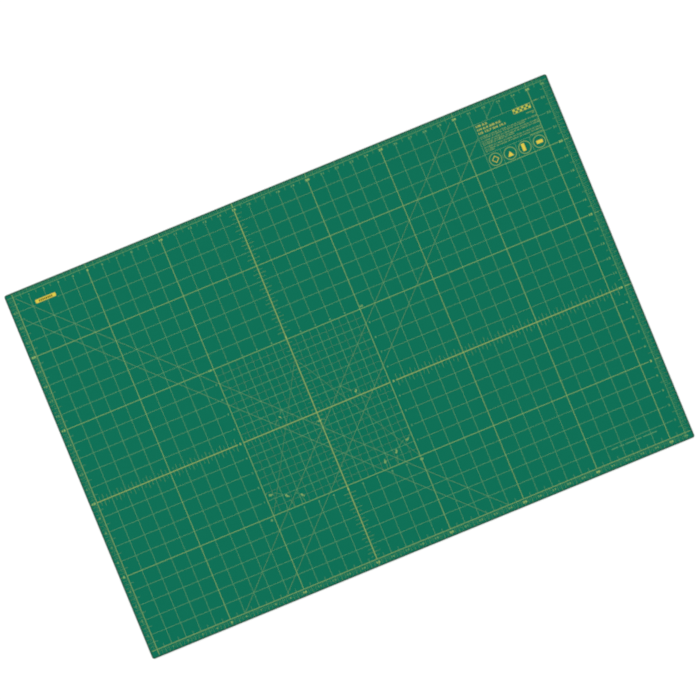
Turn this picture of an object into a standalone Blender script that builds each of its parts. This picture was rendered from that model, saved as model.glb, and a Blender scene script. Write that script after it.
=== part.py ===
"""Self-healing cutting mat, 36 x 24 inch grid: five bonded sheets with a screen-printed inch grid.

The mat lies flat. X runs along its long side, Y towards its top edge and Z up. The origin is on
the underside, at the middle of the mat. Lengths are metres, and grid lines go by their printed number.
"""
import math

import bmesh
import bpy

INCH = 0.0254

# Mat: outline and corners
LENGTH = 0.9394
DEPTH = 0.6295
CORNER_RADIUS = 0.0035
CORNER_SEGMENTS = 8
RIM_EASE = 0.00018
RIM_SEGMENTS = 2
ROUND_PROFILE = 0.5

# Grid: as many whole inches as fit inside the margins, counted from the lower left corner of the print
LEAST_SIDE_MARGIN = 0.0120
LEAST_TOP_MARGIN = 0.0070
BOTTOM_MARGIN = 0.0124
COLUMNS = math.floor((LENGTH - 2 * LEAST_SIDE_MARGIN) / INCH)
ROWS = math.floor((DEPTH - BOTTOM_MARGIN - LEAST_TOP_MARGIN) / INCH)
GRID_LEFT = -COLUMNS * INCH / 2
GRID_BOTTOM = -DEPTH / 2 + BOTTOM_MARGIN

# Sheets: two soft cutting faces on two backing sheets, with one stiff core between them
CUTTING_SHEET = 0.00060
BACKING_SHEET = 0.00022
CORE_SHEET = 0.00028
BOND_LINE = 0.00002

# Print: ink films, each a little above the one before it where lines cross
INK_FILM = 0.00002
INK_CLEARANCE = 0.00001

# Print: points of an outline that are closer than this are one point
SAME_POINT = 1e-7

# Print: line widths
INCH_LINE = 0.00035
FIVE_INCH_LINE = 0.00065
CENTRE_LINE = 0.00105
HALF_INCH_LINE = 0.00022
ANGLE_LINE = 0.00040
LEAD_BORDER = 0.00075
FAR_BORDER = 0.00045
TICK = 0.00030

# Print: how far ticks reach inwards and outwards from a border line
RULER_TICK_IN = 0.0061
RULER_TICK_OUT = 0.0091
TOP_TICK_OUT = 0.0051
LONG_TICK_EXTRA = 0.0015
CENTRE_TICK = 0.0097

# Print: room left for the numbers at the ends of lines and round the finer square
TOP_NUMBER_ROOM = 0.0071
RIGHT_NUMBER_ROOM = 0.0127
SQUARE_SIDE_ROOM = 0.0101
SQUARE_END_ROOM = 0.0072

# Print: the finer square in the middle, by grid line
SQUARE_LEFT = 10
SQUARE_BOTTOM = 5
SQUARE_SIZE = 10
SQUARE_RIGHT = SQUARE_LEFT + SQUARE_SIZE
SQUARE_TOP = SQUARE_BOTTOM + SQUARE_SIZE

# Print: the heavy lines through the middle of the square, and the bolder lines that carry others
CENTRE_X = SQUARE_LEFT + SQUARE_SIZE / 2
CENTRE_Y = SQUARE_BOTTOM + SQUARE_SIZE / 2
BOLD_STEP = 5
OVER_SPINE = SQUARE_TOP + BOLD_STEP
SIDE_SPINE = SQUARE_RIGHT + BOLD_STEP

# Print: the plain field at the top right that the grid leaves free, by grid line
FIELD_INSET = 1
FIELD_WIDTH = 4
FIELD_HEIGHT = 2
FIELD_RIGHT = COLUMNS - FIELD_INSET
FIELD_LEFT = FIELD_RIGHT - FIELD_WIDTH
FIELD_TOP = ROWS - FIELD_INSET
FIELD_BOTTOM = FIELD_TOP - FIELD_HEIGHT

# Print: the room that a printed plate at the top left takes out of the highest thin line
PLATE_LINE = ROWS - 1 if (ROWS - 1) % BOLD_STEP else ROWS - 2
PLATE_ROOM_LEFT = 0.0284
PLATE_ROOM_RIGHT = 0.0673

# Print: the 45 degree lines, by the grid line where they meet the bottom line, and how far apart a pair is
FALLING_FOOT = ROWS
FALLING_SPACING = 1 * INCH
RISING_FOOT = 6
RISING_SPACING = 2 * INCH
ANGLE_INSET = 0.0030
GAUGE_NUMBER_ROOM = 0.0091
FALLING_GAUGE_X = 13
RISING_GAUGE_X = 17

# Print: the order of the films, from the first one on the sheet upwards
UPRIGHT_LAYER = 0
ACROSS_LAYER = 1
FIVE_INCH_LAYER = 2
CENTRE_LAYER = 3
HALF_INCH_LAYER = 4
OVER_SQUARE_LAYER = HALF_INCH_LAYER
ANGLE_45_LAYER = 5
ANGLE_60_LAYER = 6
BESIDE_SQUARE_LAYER = ANGLE_60_LAYER

# Roughness: soft faces, firm sheets inside, ink
SOFT_ROUGHNESS = 0.6
FIRM_ROUGHNESS = 0.5
INK_ROUGHNESS = 0.5

# Colours, sRGB
GREEN = (16, 113, 87)
DARK_GREEN = (12, 84, 66)
CORE_GREY = (58, 62, 60)
INK_YELLOW = (196, 190, 62)
INK_DULL = (120, 152, 62)


def linear(level):
    """One sRGB level from 0 to 255 as linear light."""
    value = level / 255
    if value <= 0.04045:
        return value / 12.92
    return ((value + 0.055) / 1.055) ** 2.4


def material(name, colour, roughness):
    """A plain plastic or ink material."""
    made = bpy.data.materials.new(name)
    made.use_nodes = True
    shader = made.node_tree.nodes["Principled BSDF"]
    shader.inputs["Base Color"].default_value = (*[linear(level) for level in colour], 1)
    shader.inputs["Roughness"].default_value = roughness
    shader.inputs["Metallic"].default_value = 0
    return made


def add_to_mat(item, parent, finish):
    """Files an object under the mat and gives it its finish."""
    bpy.data.collections["self_healing_cutting_mat"].objects.link(item)
    item.parent = parent
    item.data.materials.append(finish)


def sheet(name, parent, bottom, thickness, eased_side, finish):
    """One sheet of the mat, cut to the outline; eased_side is 1, -1 or 0 for top, bottom or no rim."""
    mesh = bmesh.new()
    bmesh.ops.create_cube(mesh, size=1)
    bmesh.ops.scale(mesh, vec=(LENGTH, DEPTH, thickness), verts=mesh.verts)
    corners = [edge for edge in mesh.edges
               if abs(edge.verts[0].co.z - edge.verts[1].co.z) > thickness / 2]
    bmesh.ops.bevel(mesh, geom=corners, offset=CORNER_RADIUS, segments=CORNER_SEGMENTS,
                    profile=ROUND_PROFILE, affect="EDGES")
    if eased_side:
        rim = [edge for edge in mesh.edges
               if all(vertex.co.z * eased_side > thickness / 4 for vertex in edge.verts)]
        bmesh.ops.bevel(mesh, geom=rim, offset=RIM_EASE, segments=RIM_SEGMENTS,
                        profile=ROUND_PROFILE, affect="EDGES")
    data = bpy.data.meshes.new(name)
    mesh.to_mesh(data)
    mesh.free()
    item = bpy.data.objects.new(name, data)
    item.location.z = bottom + thickness / 2
    add_to_mat(item, parent, finish)


def build_sheets(parent):
    """The five sheets, from the underside up. Returns the height of the working face."""
    face_green = material("soft_green_pvc", GREEN, SOFT_ROUGHNESS)
    back_green = material("soft_green_pvc_reverse", GREEN, SOFT_ROUGHNESS)
    upper_green = material("firm_green_pvc_upper", DARK_GREEN, FIRM_ROUGHNESS)
    lower_green = material("firm_green_pvc_lower", DARK_GREEN, FIRM_ROUGHNESS)
    core_grey = material("stiff_grey_core", CORE_GREY, FIRM_ROUGHNESS)
    stack = [
        ("bottom_cutting_sheet", CUTTING_SHEET, -1, back_green),
        ("lower_backing_sheet", BACKING_SHEET, 0, lower_green),
        ("core_sheet", CORE_SHEET, 0, core_grey),
        ("upper_backing_sheet", BACKING_SHEET, 0, upper_green),
        ("top_cutting_sheet", CUTTING_SHEET, 1, face_green),
    ]
    height = 0.0
    for name, thickness, eased_side, finish in stack:
        sheet(name, parent, height, thickness, eased_side, finish)
        height += thickness + BOND_LINE
    return height - BOND_LINE


def film_bottom(face, layer):
    """Height of the underside of a film over the working face."""
    return face + INK_CLEARANCE + layer * (INK_FILM + INK_CLEARANCE)


def film(name, parent, outlines, bottom, finish):
    """A flat ink film from outlines in metres from the grid's corner: the first outside, then its holes."""
    curve = bpy.data.curves.new(name, "CURVE")
    curve.dimensions = "2D"
    curve.fill_mode = "BOTH"
    curve.extrude = INK_FILM / 2
    for outline in outlines:
        spline = curve.splines.new("POLY")
        spline.points.add(len(outline) - 1)
        for point, (x, y) in zip(spline.points, outline):
            point.co = (x, y, 0, 1)
        spline.use_cyclic_u = True
    item = bpy.data.objects.new(name, curve)
    item.location = (GRID_LEFT, GRID_BOTTOM, bottom + INK_FILM / 2)
    add_to_mat(item, parent, finish)


def toothed_outline(start, end, width, teeth):
    """A line along X with teeth square to it; a tooth is (place, width, reach down, reach up)."""
    half = width / 2
    lower = []
    upper = []
    for place, tooth_width, down, up in sorted(teeth):
        left = place - tooth_width / 2
        right = place + tooth_width / 2
        if down > half:
            lower += [(left, -half), (left, -down), (right, -down), (right, -half)]
        if up > half:
            upper += [(left, half), (left, up), (right, up), (right, half)]
    return [(start, -half)] + lower + [(end, -half), (end, half)] + upper[::-1] + [(start, half)]


def moved(outline, x, y):
    """An outline shifted by x and y."""
    return [(px + x, py + y) for px, py in outline]


def turned(outline):
    """An outline drawn along X laid along Y instead; what was above the line is on its right."""
    return [(py, px) for px, py in outline]


def lattice_outlines(uprights, levels):
    """Crossing lines as one outline and its holes; an upright is (x, width, low end, high end)
    and a level is (y, width, left end, right end)."""
    left_edge = uprights[0][0] - uprights[0][1] / 2
    right_edge = uprights[-1][0] + uprights[-1][1] / 2
    bottom_edge = levels[0][0] - levels[0][1] / 2
    top_edge = levels[-1][0] + levels[-1][1] / 2
    outside = []
    for x, width, low, _ in uprights:
        left = x - width / 2
        right = x + width / 2
        outside += [(left, bottom_edge), (left, low), (right, low), (right, bottom_edge)]
    for y, width, _, far in levels:
        low = y - width / 2
        high = y + width / 2
        outside += [(right_edge, low), (far, low), (far, high), (right_edge, high)]
    for x, width, _, high in reversed(uprights):
        left = x - width / 2
        right = x + width / 2
        outside += [(right, top_edge), (right, high), (left, high), (left, top_edge)]
    for y, width, near, _ in reversed(levels):
        low = y - width / 2
        high = y + width / 2
        outside += [(left_edge, high), (near, high), (near, low), (left_edge, low)]
    outlines = [[point for point, before in zip(outside, [outside[-1]] + outside[:-1])
                 if math.dist(point, before) > SAME_POINT]]
    for (x0, w0, _, _), (x1, w1, _, _) in zip(uprights, uprights[1:]):
        for (y0, v0, _, _), (y1, v1, _, _) in zip(levels, levels[1:]):
            left = x0 + w0 / 2
            right = x1 - w1 / 2
            low = y0 + v0 / 2
            high = y1 - v1 / 2
            outlines.append([(left, low), (left, high), (right, high), (right, low)])
    return outlines


def is_bold(line):
    """True for the numbers that have the bolder lines."""
    return line % BOLD_STEP == 0


def thin_lines(first, last):
    """The numbers of the thin lines between two places on the grid."""
    return [line for line in range(math.floor(first) + 1, math.ceil(last)) if not is_bold(line)]


def half_inch_ticks(count, down, up):
    """A tick half way along each inch of a ruler."""
    return [((inch + 0.5) * INCH, TICK, down, up) for inch in range(count)]


def outer_ticks(count, centre, reach):
    """A tick outside a border at each inch, as wide as its line and longer where the line is bold."""
    ticks = []
    for line in range(1, count):
        width = CENTRE_LINE if line == centre else FIVE_INCH_LINE if is_bold(line) else TICK
        ticks.append((line * INCH, width, 0, reach + (LONG_TICK_EXTRA if is_bold(line) else 0)))
    return ticks


def build_upright_inch_lines(parent, face, finish):
    """Thin upright inch lines, standing on the bottom line with its ticks."""
    teeth = half_inch_ticks(COLUMNS, RULER_TICK_OUT, RULER_TICK_IN)
    for line in thin_lines(0, COLUMNS):
        top = ROWS * INCH - TOP_NUMBER_ROOM
        if SQUARE_LEFT < line < SQUARE_RIGHT:
            top = SQUARE_BOTTOM * INCH - SQUARE_END_ROOM
        elif FIELD_LEFT < line < FIELD_RIGHT:
            top = FIELD_BOTTOM * INCH
        teeth.append((line * INCH, INCH_LINE, 0, top))
    outline = toothed_outline(-RULER_TICK_OUT, COLUMNS * INCH + RULER_TICK_OUT, LEAD_BORDER, teeth)
    film("upright_inch_lines", parent, [outline], film_bottom(face, UPRIGHT_LAYER), finish)


def build_across_inch_lines(parent, face, finish):
    """Thin inch lines along the mat, starting at the left line with its ticks."""
    teeth = half_inch_ticks(ROWS, RULER_TICK_OUT, RULER_TICK_IN)
    for line in thin_lines(0, ROWS):
        right = COLUMNS * INCH - RIGHT_NUMBER_ROOM
        if SQUARE_BOTTOM < line < SQUARE_TOP:
            right = SQUARE_LEFT * INCH - SQUARE_SIDE_ROOM
        elif FIELD_BOTTOM < line < FIELD_TOP:
            right = FIELD_LEFT * INCH
        elif line == PLATE_LINE:
            right = PLATE_ROOM_LEFT
        teeth.append((line * INCH, INCH_LINE, 0, right))
    outline = toothed_outline(-RULER_TICK_OUT, ROWS * INCH + TOP_TICK_OUT, LEAD_BORDER, teeth)
    film("across_inch_lines", parent, [turned(outline)], film_bottom(face, ACROSS_LAYER), finish)


def build_over_square_lines(parent, face, finish):
    """The bolder line over the square, with the thin upright lines that stop short of the square."""
    spine = OVER_SPINE * INCH
    down = spine - SQUARE_TOP * INCH - SQUARE_END_ROOM
    up = ROWS * INCH - TOP_NUMBER_ROOM - spine
    teeth = [(line * INCH, INCH_LINE, down, up) for line in thin_lines(SQUARE_LEFT, SQUARE_RIGHT)]
    outline = toothed_outline(0, COLUMNS * INCH - RIGHT_NUMBER_ROOM, FIVE_INCH_LINE, teeth)
    film("over_square_lines", parent, [moved(outline, 0, spine)],
         film_bottom(face, OVER_SQUARE_LAYER), finish)


def build_beside_square_lines(parent, face, finish):
    """The bolder line right of the square, with the thin lines that stop at the square or the plate."""
    spine = SIDE_SPINE * INCH
    left = spine - SQUARE_RIGHT * INCH - SQUARE_SIDE_ROOM
    right = COLUMNS * INCH - RIGHT_NUMBER_ROOM - spine
    teeth = [(line * INCH, INCH_LINE, left, right) for line in thin_lines(SQUARE_BOTTOM, SQUARE_TOP)]
    teeth.append((PLATE_LINE * INCH, INCH_LINE, spine - PLATE_ROOM_RIGHT, right))
    outline = toothed_outline(0, ROWS * INCH - TOP_NUMBER_ROOM, FIVE_INCH_LINE, teeth)
    film("beside_square_lines", parent, [moved(turned(outline), spine, 0)],
         film_bottom(face, BESIDE_SQUARE_LAYER), finish)


def build_top_ruler(parent, face, finish):
    """The top line of the grid, with a tick at each inch outside it and each half inch across it."""
    teeth = half_inch_ticks(COLUMNS, RULER_TICK_IN, TOP_TICK_OUT)
    teeth += outer_ticks(COLUMNS, CENTRE_X, TOP_TICK_OUT)
    outline = toothed_outline(-RULER_TICK_OUT, COLUMNS * INCH + RULER_TICK_OUT, FAR_BORDER, teeth)
    film("top_ruler", parent, [moved(outline, 0, ROWS * INCH)], film_bottom(face, UPRIGHT_LAYER), finish)


def build_right_ruler(parent, face, finish):
    """The right line of the grid, with a tick at each inch outside it and each half inch across it."""
    teeth = half_inch_ticks(ROWS, RULER_TICK_IN, RULER_TICK_OUT)
    teeth += outer_ticks(ROWS, CENTRE_Y, RULER_TICK_OUT)
    outline = toothed_outline(-TOP_TICK_OUT, ROWS * INCH + TOP_TICK_OUT, FAR_BORDER, teeth)
    film("right_ruler", parent, [moved(turned(outline), COLUMNS * INCH, 0)],
         film_bottom(face, ACROSS_LAYER), finish)


def build_five_inch_lines(parent, face, finish):
    """The bolder line at every fifth inch, but for the heavy centre lines and the two that carry others."""
    uprights = [(line * INCH, FIVE_INCH_LINE, 0, ROWS * INCH - TOP_NUMBER_ROOM)
                for line in range(BOLD_STEP, COLUMNS, BOLD_STEP) if line not in (CENTRE_X, SIDE_SPINE)]
    levels = [(line * INCH, FIVE_INCH_LINE, 0, COLUMNS * INCH - RIGHT_NUMBER_ROOM)
              for line in range(BOLD_STEP, ROWS, BOLD_STEP) if line not in (CENTRE_Y, OVER_SPINE)]
    film("five_inch_lines", parent, lattice_outlines(uprights, levels),
         film_bottom(face, FIVE_INCH_LAYER), finish)


def square_lattice(name, parent, bottom, width, places, finish):
    """Lines both ways over the finer square, at the given distances from its lower left corner."""
    low = SQUARE_BOTTOM * INCH
    left = SQUARE_LEFT * INCH
    size = SQUARE_SIZE * INCH
    uprights = [(left + place, width, low, low + size) for place in places]
    levels = [(low + place, width, left, left + size) for place in places]
    film(name, parent, lattice_outlines(uprights, levels), bottom, finish)


def build_square_inch_lines(parent, face, finish):
    """The thin inch lines inside the finer square."""
    places = [(line - SQUARE_LEFT) * INCH for line in thin_lines(SQUARE_LEFT, SQUARE_RIGHT)]
    square_lattice("square_inch_lines", parent, film_bottom(face, UPRIGHT_LAYER), INCH_LINE, places, finish)


def build_half_inch_lines(parent, face, finish):
    """The finest lines, half way between the inch lines of the finer square."""
    places = [(inch + 0.5) * INCH for inch in range(round(SQUARE_SIZE))]
    square_lattice("half_inch_lines", parent, film_bottom(face, HALF_INCH_LAYER), HALF_INCH_LINE,
                   places, finish)


def bar(name, start, end, width, bottom, collection):
    """A thin straight bar between two points of the grid."""
    run = (end[0] - start[0], end[1] - start[1])
    mesh = bmesh.new()
    bmesh.ops.create_cube(mesh, size=1)
    bmesh.ops.scale(mesh, vec=(math.hypot(*run), width, INK_FILM), verts=mesh.verts)
    data = bpy.data.meshes.new(name)
    mesh.to_mesh(data)
    mesh.free()
    item = bpy.data.objects.new(name, data)
    item.location = (GRID_LEFT + (start[0] + end[0]) / 2, GRID_BOTTOM + (start[1] + end[1]) / 2,
                     bottom + INK_FILM / 2)
    item.rotation_euler.z = math.atan2(run[1], run[0])
    collection.objects.link(item)
    return item


def joined_bars(name, parent, lines, bottom, finish):
    """One film of bars that cross or meet, made one by a union; a line is (start, end, width)."""
    guides = bpy.data.collections.new(name + "_bars")
    bpy.data.collections["cutters"].children.link(guides)
    first, *others = lines
    for index, (start, end, width) in enumerate(others):
        piece = bar(f"{name}_bar_{index}", start, end, width, bottom, guides)
        piece.display_type = "WIRE"
        piece.hide_render = True
        piece.parent = parent
    item = bar(name, *first, bottom, bpy.data.collections["self_healing_cutting_mat"])
    item.parent = parent
    item.data.materials.append(finish)
    union = item.modifiers.new("join_bars", "BOOLEAN")
    union.operation = "UNION"
    union.operand_type = "COLLECTION"
    union.collection = guides
    union.solver = "EXACT"


def cross_outline(centre, reach):
    """Outline of a cross with four equal arms, read round its arms in turn."""
    half = CENTRE_LINE / 2
    outline = []
    for ax, ay in [(1, 0), (0, 1), (-1, 0), (0, -1)]:
        outline += [(centre[0] + ax * run - ay * side, centre[1] + ay * run + ax * side)
                    for run, side in [(half, -half), (reach, -half), (reach, half)]]
    return outline


def build_centre_cross(parent, face, finish):
    """The two heavy lines inside the finer square."""
    centre = (CENTRE_X * INCH, CENTRE_Y * INCH)
    film("centre_cross", parent, [cross_outline(centre, SQUARE_SIZE / 2 * INCH)],
         film_bottom(face, CENTRE_LAYER), finish)


def build_centre_rulers(parent, face, finish):
    """The four heavy lines that go on outside the square, with a tick at each half inch."""
    bottom = film_bottom(face, CENTRE_LAYER)
    sides = [
        ("centre_ruler_left", 0, SQUARE_LEFT * INCH - SQUARE_SIDE_ROOM, False),
        ("centre_ruler_right", SQUARE_RIGHT * INCH + SQUARE_SIDE_ROOM,
         COLUMNS * INCH - RIGHT_NUMBER_ROOM, False),
        ("centre_ruler_bottom", 0, SQUARE_BOTTOM * INCH - SQUARE_END_ROOM, True),
        ("centre_ruler_top", SQUARE_TOP * INCH + SQUARE_END_ROOM, ROWS * INCH - TOP_NUMBER_ROOM, True),
    ]
    for name, start, end, upright in sides:
        teeth = [tooth for tooth in half_inch_ticks(COLUMNS, CENTRE_TICK, CENTRE_TICK)
                 if start < tooth[0] - TICK / 2 and tooth[0] + TICK / 2 < end]
        outline = toothed_outline(start, end, CENTRE_LINE, teeth)
        outline = (moved(turned(outline), CENTRE_X * INCH, 0) if upright
                   else moved(outline, 0, CENTRE_Y * INCH))
        film(name, parent, [outline], bottom, finish)


def gauge_stubs(start, direction, length):
    """The two ends of a short line across a pair, which leaves room for its number in the middle."""
    step = (direction[0] / math.sqrt(2), direction[1] / math.sqrt(2))
    stub = (length - GAUGE_NUMBER_ROOM) / 2
    ends = [0, stub, length - stub, length]
    points = [(start[0] + step[0] * run, start[1] + step[1] * run) for run in ends]
    return [(points[0], points[1], ANGLE_LINE), (points[2], points[3], ANGLE_LINE)]


def build_angle_lines_45(parent, face, finish):
    """Two pairs of 45 degree lines, each pair with a short gauge line across it."""
    falling = [FALLING_FOOT * INCH, FALLING_FOOT * INCH - FALLING_SPACING * math.sqrt(2)]
    rising = [RISING_FOOT * INCH, RISING_FOOT * INCH + RISING_SPACING * math.sqrt(2)]
    lines = [((ANGLE_INSET, foot - ANGLE_INSET), (foot, 0), ANGLE_LINE) for foot in falling]
    for foot in rising:
        rise = min(ROWS * INCH - TOP_NUMBER_ROOM, FIELD_LEFT * INCH - foot)
        lines.append(((foot, 0), (foot + rise, rise), ANGLE_LINE))
    falling_gauge = FALLING_GAUGE_X * INCH
    rising_gauge = RISING_GAUGE_X * INCH
    lines += gauge_stubs((falling_gauge, falling[0] - falling_gauge), (-1, -1), FALLING_SPACING)
    lines += gauge_stubs((rising_gauge, rising_gauge - rising[0]), (1, -1), RISING_SPACING)
    joined_bars("angle_lines_45", parent, lines, film_bottom(face, ANGLE_45_LAYER), finish)


def build_angle_lines_60(parent, face, finish):
    """The two 60 degree lines that rise from the lower corners of the square and meet at its middle."""
    angle = math.radians(60)
    side = ANGLE_LINE / 2 / math.sin(angle)
    rise = ANGLE_LINE / 2 / math.cos(angle)
    left = SQUARE_LEFT * INCH
    right = left + SQUARE_SIZE * INCH
    foot = SQUARE_BOTTOM * INCH
    middle = (left + right) / 2
    peak = foot + (middle - left) * math.tan(angle)
    outline = [(left - side, foot), (left + side, foot), (middle, peak - rise),
               (right - side, foot), (right + side, foot), (middle, peak + rise)]
    film("angle_lines_60", parent, [outline], film_bottom(face, ANGLE_60_LAYER), finish)


def build_print(parent, face):
    """All lines of the print, each kind of line a film of its own."""
    films = [
        (build_upright_inch_lines, "ink_upright_inch_lines", INK_DULL),
        (build_across_inch_lines, "ink_across_inch_lines", INK_DULL),
        (build_over_square_lines, "ink_over_square_lines", INK_DULL),
        (build_beside_square_lines, "ink_beside_square_lines", INK_DULL),
        (build_square_inch_lines, "ink_square_inch_lines", INK_DULL),
        (build_half_inch_lines, "ink_half_inch_lines", INK_DULL),
        (build_top_ruler, "ink_top_ruler", INK_DULL),
        (build_right_ruler, "ink_right_ruler", INK_DULL),
        (build_five_inch_lines, "ink_five_inch_lines", INK_YELLOW),
        (build_centre_cross, "ink_centre_cross", INK_YELLOW),
        (build_centre_rulers, "ink_centre_rulers", INK_YELLOW),
        (build_angle_lines_45, "ink_angle_lines_45", INK_DULL),
        (build_angle_lines_60, "ink_angle_lines_60", INK_DULL),
    ]
    for build_film, ink, colour in films:
        build_film(parent, face, material(ink, colour, INK_ROUGHNESS))


def main():
    """Clears the scene and builds the mat."""
    for item in list(bpy.data.objects):
        bpy.data.objects.remove(item)
    for name in ("self_healing_cutting_mat", "cutters"):
        bpy.context.scene.collection.children.link(bpy.data.collections.new(name))
    mat = bpy.data.objects.new("mat_origin", None)
    bpy.data.collections["self_healing_cutting_mat"].objects.link(mat)
    face = build_sheets(mat)
    build_print(mat, face)


main()
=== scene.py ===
# %% [markdown]
# # Dressing a self-healing cutting mat
#
# A self-healing cutting mat is a sandwich: two soft PVC faces, two firmer backing sheets and a stiff
# core, pressed together and stamped out in one blow. Yellow ink is then screen-printed on the top face.
# The sheets and the long printed lines come in ready-made, as a fixed frame. This lesson gives each of
# them its finish, and adds what is too small for the frame: the numbers, the fine ticks, the angle
# marks and the small marks in the corners. The frame comes first, because every place is read from it.

# %% Load the frame
import math

import bpy
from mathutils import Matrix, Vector


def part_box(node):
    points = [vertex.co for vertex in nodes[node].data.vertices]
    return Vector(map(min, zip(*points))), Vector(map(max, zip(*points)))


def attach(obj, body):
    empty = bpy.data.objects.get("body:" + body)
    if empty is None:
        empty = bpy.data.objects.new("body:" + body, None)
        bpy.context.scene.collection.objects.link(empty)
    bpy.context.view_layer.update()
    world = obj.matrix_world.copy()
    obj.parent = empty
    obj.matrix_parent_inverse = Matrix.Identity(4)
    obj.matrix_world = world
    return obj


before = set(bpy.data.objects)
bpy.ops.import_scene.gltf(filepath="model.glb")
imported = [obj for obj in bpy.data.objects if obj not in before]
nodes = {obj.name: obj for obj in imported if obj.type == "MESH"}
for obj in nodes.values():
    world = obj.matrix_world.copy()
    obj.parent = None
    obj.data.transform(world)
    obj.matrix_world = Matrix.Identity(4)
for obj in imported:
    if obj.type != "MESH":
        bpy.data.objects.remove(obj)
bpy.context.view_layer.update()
print("nodes in the frame:", len(nodes))

# %% [markdown]
# ## Where the grid is
#
# The print counts in inches from its lower left corner, so every place below is given as a count of
# squares and turned to metres here. The corner is read from the lattice of bolder lines, whose lowest
# corner it is. Ink can't share the same space, or the render flickers between the two colours: the
# frame lays each kind of line in a film of its own, and the new marks go level with the three lowest.

# %% Measure the grid and the ink films
INCH = 0.0254
COLUMNS = 36
ROWS = 24
BOLD_STEP = 5
CENTRE_X = 15
CENTRE_Y = 10
SQUARE_LEFT = 10
SQUARE_RIGHT = 20
SQUARE_BOTTOM = 5
SQUARE_TOP = 15

GRID_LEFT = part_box("five_inch_lines")[0].x
GRID_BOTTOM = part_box("five_inch_lines")[0].y
NUMBER_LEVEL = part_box("upright_inch_lines")[0].z
MARK_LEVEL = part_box("across_inch_lines")[0].z
OVERPRINT_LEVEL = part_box("five_inch_lines")[0].z
INK_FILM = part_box("upright_inch_lines")[1].z - NUMBER_LEVEL


def at(x, y, level=0.0):
    """A place on the print, counted in squares, as a point in metres."""
    return Vector((GRID_LEFT + x * INCH, GRID_BOTTOM + y * INCH, level))


print("lower left corner of the grid:", [round(value, 4) for value in at(0, 0, NUMBER_LEVEL)])
print(f"ink film: {INK_FILM * 1e6:.0f} micrometres")

# %% [markdown]
# ## Colours and nodes
#
# Colours are picked from a screen, so they are written as sRGB hex. Shaders count in linear light, where
# half the number is half the light, so one function turns them. A second one adds a shader node, sets its
# options, and fills its inputs with values or with links from other nodes. A third starts a material with
# the plastic shader that the PVC sheets and the vinyl ink share. A Mix node has sockets for every kind of
# value and knows them by number, so those for colours get names.

# %% Helpers for materials
PVC_IOR = 1.53
COLOUR_MIX = {"data_type": "RGBA"}
AMOUNT = 0
FIRST_COLOUR = 6
SECOND_COLOUR = 7
BLEND = 2


def colour(hex_code):
    """An sRGB hex colour as linear red, green, blue and alpha."""
    channels = []
    for start in (1, 3, 5):
        value = int(hex_code[start:start + 2], 16) / 255
        # The sRGB curve runs straight near black and follows a power above that.
        channels.append(value / 12.92 if value <= 0.04045 else ((value + 0.055) / 1.055) ** 2.4)
    return (*channels, 1.0)


def add_node(tree, kind, options=None, inputs=None):
    """Adds a node with its options; an input is a value or another node's output."""
    node = tree.nodes.new(kind)
    for name, value in (options or {}).items():
        setattr(node, name, value)
    for socket, value in (inputs or {}).items():
        if isinstance(value, bpy.types.NodeSocket):
            tree.links.new(value, node.inputs[socket])
        else:
            node.inputs[socket].default_value = value
    return node


def new_material(name, roughness, specular):
    """An empty material with a plastic shader; gives back the material, its node tree and the shader."""
    made = bpy.data.materials.new(name)
    made.use_nodes = True
    shader = made.node_tree.nodes["Principled BSDF"]
    shader.inputs["Roughness"].default_value = roughness
    shader.inputs["Metallic"].default_value = 0.0
    shader.inputs["IOR"].default_value = PVC_IOR
    shader.inputs["Specular IOR Level"].default_value = specular
    return made, made.node_tree, shader


print("a screen's middle grey in linear light:", round(colour("#808080")[0], 3))

# %% [markdown]
# ## The soft green face
#
# The faces are plasticised PVC, rolled out between hot calender rolls with a fine matte emboss. To the
# eye that is a deep, even green with hardly any shine: the emboss scatters it. Three patterns make it.
# Broad clouds are the slight unevenness of the pigment. The pebble grain is the emboss; the real one is
# about 0.3 mm, too fine for this view, so it is drawn three times as coarse. The third is painted shade:
# over its last four millimetres towards the outline the green is painted darker, standing in for the shade
# at the edge of the mat. This painted shade is found from the distance to the outline, so it follows all
# four sides.

# %% The soft green PVC of the two faces
FACE_GREEN = "#036950"
FACE_GREEN_PALE = "#056b52"
# Painted shade: the darker green and the width of the band at the outline that stands in for the shade at
# the mat's edge.
RIM_PAINTED_SHADE = "#16503c"
RIM_SHADE_WIDTH = 0.0042
CLOUD_SIZE = 0.045
GRAIN_SIZE = 0.0009
GRAIN_DEPTH = 0.00002
GRAIN_STRENGTH = 0.35
NOISE_ROUGHNESS = 0.55
FACE_ROUGHNESS = 0.66
SMOOTHEST = 0.60
ROUGHEST = 0.74
PVC_SPECULAR = 0.05


def rim_amount(tree, place, sheet):
    """1 at the outline of a sheet, falling to 0 over the width of the painted shade at the rim."""
    low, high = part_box(sheet)
    axes = add_node(tree, "ShaderNodeSeparateXYZ", inputs={"Vector": place})
    gaps = []
    for axis, half in (("X", (high.x - low.x) / 2), ("Y", (high.y - low.y) / 2)):
        size = add_node(tree, "ShaderNodeMath", {"operation": "ABSOLUTE"}, {0: axes.outputs[axis]})
        gap = add_node(tree, "ShaderNodeMath", {"operation": "SUBTRACT"}, {0: half, 1: size.outputs[0]})
        gaps.append(gap.outputs[0])
    nearest = add_node(tree, "ShaderNodeMath", {"operation": "MINIMUM"}, {0: gaps[0], 1: gaps[1]})
    fall = add_node(tree, "ShaderNodeMapRange", {"interpolation_type": "SMOOTHSTEP"}, {
        "Value": nearest.outputs[0], "From Min": 0.0, "From Max": RIM_SHADE_WIDTH, "To Min": 1.0, "To Max": 0.0})
    return fall.outputs[0]


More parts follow.
